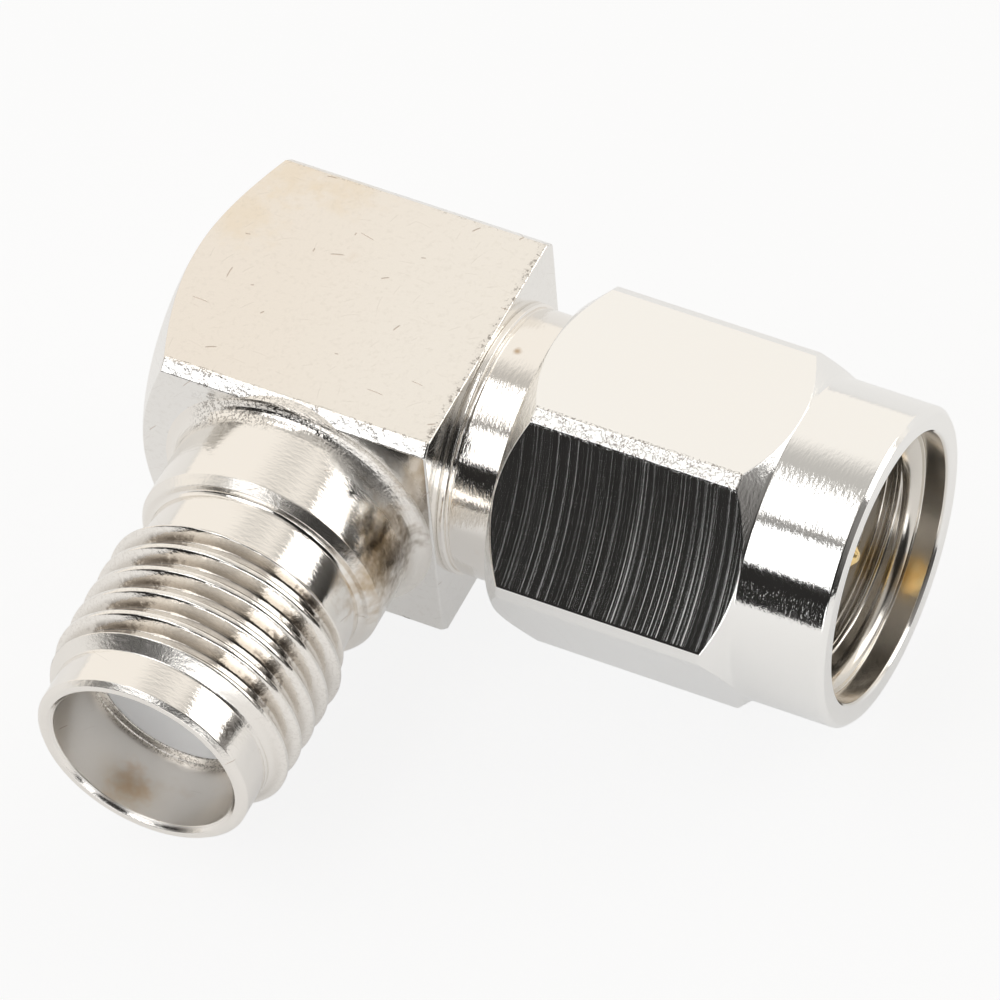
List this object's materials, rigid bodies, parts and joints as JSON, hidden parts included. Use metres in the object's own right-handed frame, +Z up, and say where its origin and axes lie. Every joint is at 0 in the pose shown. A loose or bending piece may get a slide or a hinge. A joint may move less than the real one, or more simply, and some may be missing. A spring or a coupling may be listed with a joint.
{
  "type": "coax adapter",
  "caption": "Right-angle coaxial adapter: square block with a threaded jack on one side and a plug with a pin and a rotating hexagon coupling nut on the next.",
  "frame": {"origin": "centre of the jack's mouth plane, on the jack's axis", "axes": "-Y out of the jack's mouth; +X along the plug's axis, towards the plug's mouth; +Z up, square to the plane of both axes"},
  "size_m": [0.0179, 0.0165, 0.0084],
  "materials": {
    "nickel_plate": "bright nickel plate over brass",
    "gold_plate": "gold plate",
    "insulator": "smooth, slightly waxy white",
    "gasket_rubber": "matt",
    "spring_bronze": "drawn wire"
  },
  "bodies": {
    "base": {"elbow_body": "nickel_plate", "plug_ferrule": "nickel_plate", "retaining_ring": "spring_bronze", "gasket": "gasket_rubber", "plug_insulator": "insulator", "jack_insulator": "insulator", "plug_pin": "gold_plate", "jack_contact": "gold_plate", "access_cap": "nickel_plate"},
    "nut": {"coupling_nut": "nickel_plate"}
  },
  "joints": [
    {"name": "nut_turn", "type": "hinge", "parent": "base", "child": "nut", "pos_m": [0.0083, 0.012, 0], "axis": [1, 0, 0], "continuous": true}
  ]
}
